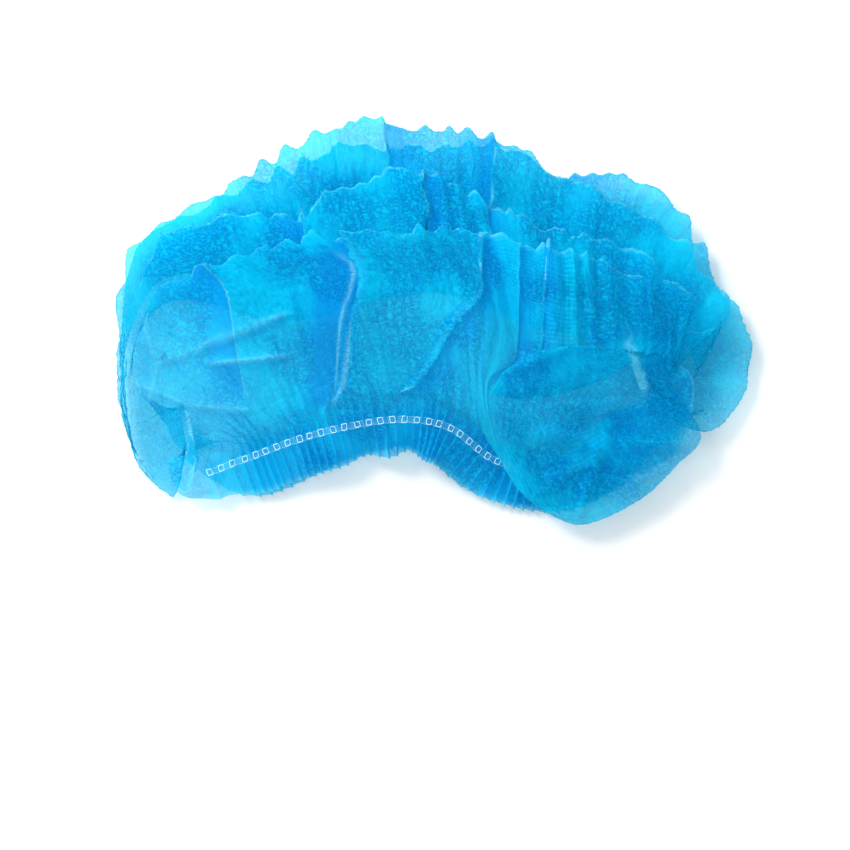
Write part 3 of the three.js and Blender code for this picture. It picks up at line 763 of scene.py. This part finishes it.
# ---- Stitches ----
# White polyester thread holds each elastic: a box of thread stands over every pleat, and a fine
# thread runs from box to box along both edges of the elastic.
STITCH_LENGTH, STITCH_WIDTH, THREAD = 2.4, 2.8, 0.15
ELASTIC_LENGTH = 330.0
STITCH_PITCH = ELASTIC_LENGTH / PLEATS


def joined_tubes(name, tubes):
    """One piece of many tubes, each a grid of points in mm that closes on itself round its second side."""
    points, faces, first = [], [], 0
    for tube in tubes:
        rows, columns = tube.shape[:2]
        index = first + np.arange(rows * columns).reshape(rows, columns)
        quads = np.stack([index[:-1, :-1], index[:-1, 1:], index[1:, 1:], index[1:, :-1]], -1)
        faces.append(quads.reshape(-1, 4))
        points.append(tube.reshape(-1, 3))
        first += rows * columns
    mesh = bpy.data.meshes.new(name)
    mesh.from_pydata((np.concatenate(points) * MM).tolist(), [], np.concatenate(faces).tolist())
    mesh.polygons.foreach_set("use_smooth", np.ones(len(mesh.polygons), bool))
    piece = bpy.data.objects.new(name, mesh)
    bpy.context.collection.objects.link(piece)
    merge_doubles(piece)
    return piece


def thread_tube(path, radius, sides=6):
    """A closed tube round a path of points: a ring at each point square to the path."""
    along = np.gradient(path, axis=0)
    along /= np.linalg.norm(along, axis=1, keepdims=True)
    side = np.cross(along, [0.05, 0.03, 1.0])
    side /= np.linalg.norm(side, axis=1, keepdims=True)
    up = np.cross(side, along)
    turn = np.linspace(0, 2 * np.pi, sides + 1)
    ends = np.r_[0.05, np.ones(len(path) - 2), 0.05][:, None] * radius
    ring = (np.cos(turn)[None, :, None] * side[:, None] + np.sin(turn)[None, :, None] * up[:, None])
    return path[:, None] + ends[..., None] * ring


material, nodes, links = new_material("white_thread")
place = nodes.new("ShaderNodeTexCoord")
twist = nodes.new("ShaderNodeTexNoise")
twist.inputs["Scale"].default_value = 2500
links.new(place.outputs["Object"], twist.inputs["Vector"])
ramp = nodes.new("ShaderNodeValToRGB")
ramp.color_ramp.elements[0].color = (0.25, 0.75, 0.92, 1)
ramp.color_ramp.elements[1].color = (0.8, 0.96, 1.0, 1)
links.new(twist.outputs[0], ramp.inputs[0])
thread = nodes.new("ShaderNodeBsdfPrincipled")
thread.inputs["Roughness"].default_value = 0.45
links.new(ramp.outputs[0], thread.inputs["Base Color"])
bump = nodes.new("ShaderNodeBump")
bump.inputs["Strength"].default_value = 0.5
bump.inputs["Distance"].default_value = 0.0001
links.new(twist.outputs[0], bump.inputs["Height"])
links.new(bump.outputs[0], thread.inputs["Normal"])
links.new(thread.outputs[0], nodes.new("ShaderNodeOutputMaterial").inputs["Surface"])
white_thread = material

for name, rim, ends, lift in (
    ("front_stitches", front_rim, FRONT_ELASTIC_ENDS, ELASTIC_LIFT + 0.55),
    ("back_stitches", back_rim, BACK_ELASTIC_ENDS, -ELASTIC_LIFT - 0.5),
):
    share = np.linspace(*ends, 1500)
    points, along, out, far = elastic_frame(rim, share)
    at = np.arange(2.0, far[-1] - 2.0, STITCH_PITCH)
    at = at + rng.uniform(-0.5, 0.5, len(at))
    tubes = []
    for middle in at:
        corner = np.linspace(0, 2 * np.pi, 25)
        square = np.stack([np.cos(corner), np.sin(corner)], 1)
        square /= np.maximum(np.abs(square).max(1, keepdims=True), 1e-6) ** 0.8
        skew = rng.uniform(-0.25, 0.25)
        d = middle + square[:, 0] * STITCH_LENGTH / 2 + skew * square[:, 1]
        w = square[:, 1] * STITCH_WIDTH / 2 * rng.uniform(0.85, 1.1)
        base = np.stack([np.interp(d, far, points[:, k]) for k in range(3)], 1)
        side = np.stack([np.interp(d, far, out[:, k]) for k in range(3)], 1)
        rise = 0.25 * np.sign(lift) * (1 - (square[:, :1] ** 2))
        tubes.append(thread_tube(base + w[:, None] * side + [0, 0, lift] + rise * [0, 0, 1.0], THREAD))
    for edge in (-1, 1):
        d = np.linspace(0.5, far[-1] - 0.5, int(far[-1] * 2))
        base = np.stack([np.interp(d, far, points[:, k]) for k in range(3)], 1)
        side = np.stack([np.interp(d, far, out[:, k]) for k in range(3)], 1)
        wander = STITCH_WIDTH / 2 + 0.15 * np.sin(2 * np.pi * d / STITCH_PITCH)
        sink = -0.4 * np.sign(lift) * (1 + np.cos(2 * np.pi * (d - at[0]) / STITCH_PITCH + np.pi))
        path = base + edge * wander[:, None] * side + [0, 0, lift] + sink[:, None] * [0, 0, 1.0]
        tubes.append(thread_tube(path, THREAD * 0.22))
    for tube in tubes:
        tube[..., 2] = np.maximum(tube[..., 2], FLOOR)
    stitches = joined_tubes(name, tubes)
    stitches.data.materials.append(white_thread)
    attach(stitches, "root")

# ---- Surface, light and camera ----
floor_mesh = bpy.data.meshes.new("floor")
floor_mesh.from_pydata([(-3, -3, 0), (3, -3, 0), (3, 3, 0), (-3, 3, 0)], [], [(0, 1, 2, 3)])
floor = bpy.data.objects.new("floor", floor_mesh)
bpy.context.collection.objects.link(floor)
material, nodes, links = new_material("floor_white")
paint = nodes.new("ShaderNodeBsdfPrincipled")
paint.inputs["Base Color"].default_value = (0.93, 0.93, 0.93, 1)
paint.inputs["Roughness"].default_value = 0.9
links.new(paint.outputs[0], nodes.new("ShaderNodeOutputMaterial").inputs["Surface"])
floor_mesh.materials.append(material)

world = bpy.data.worlds.new("studio")
bpy.context.scene.world = world
world.use_nodes = True
world.node_tree.nodes["Background"].inputs["Color"].default_value = (1, 1, 1, 1)
world.node_tree.nodes["Background"].inputs["Strength"].default_value = 0.8
bpy.context.scene.view_settings.view_transform = "Standard"
bpy.context.scene.cycles.transparent_max_bounces = 24
bpy.context.scene.cycles.diffuse_bounces = 2

key = bpy.data.lights.new("soft_key", "AREA")
key.energy = 28
key.size = 0.7
key_object = bpy.data.objects.new("soft_key", key)
key_object.location = (-0.8, 0.8, 0.95)
key_object.rotation_euler = (np.radians(-44), np.radians(-36), 0)
bpy.context.collection.objects.link(key_object)

VIEW_WIDTH = 0.3888
camera_data = bpy.data.cameras.new("camera")
camera_data.lens = 100
camera_data.sensor_width = 24
camera = bpy.data.objects.new("camera", camera_data)
camera.location = (-0.0055, -0.04665, VIEW_WIDTH * 100 / 24 + 0.02)
bpy.context.collection.objects.link(camera)
bpy.context.scene.camera = camera
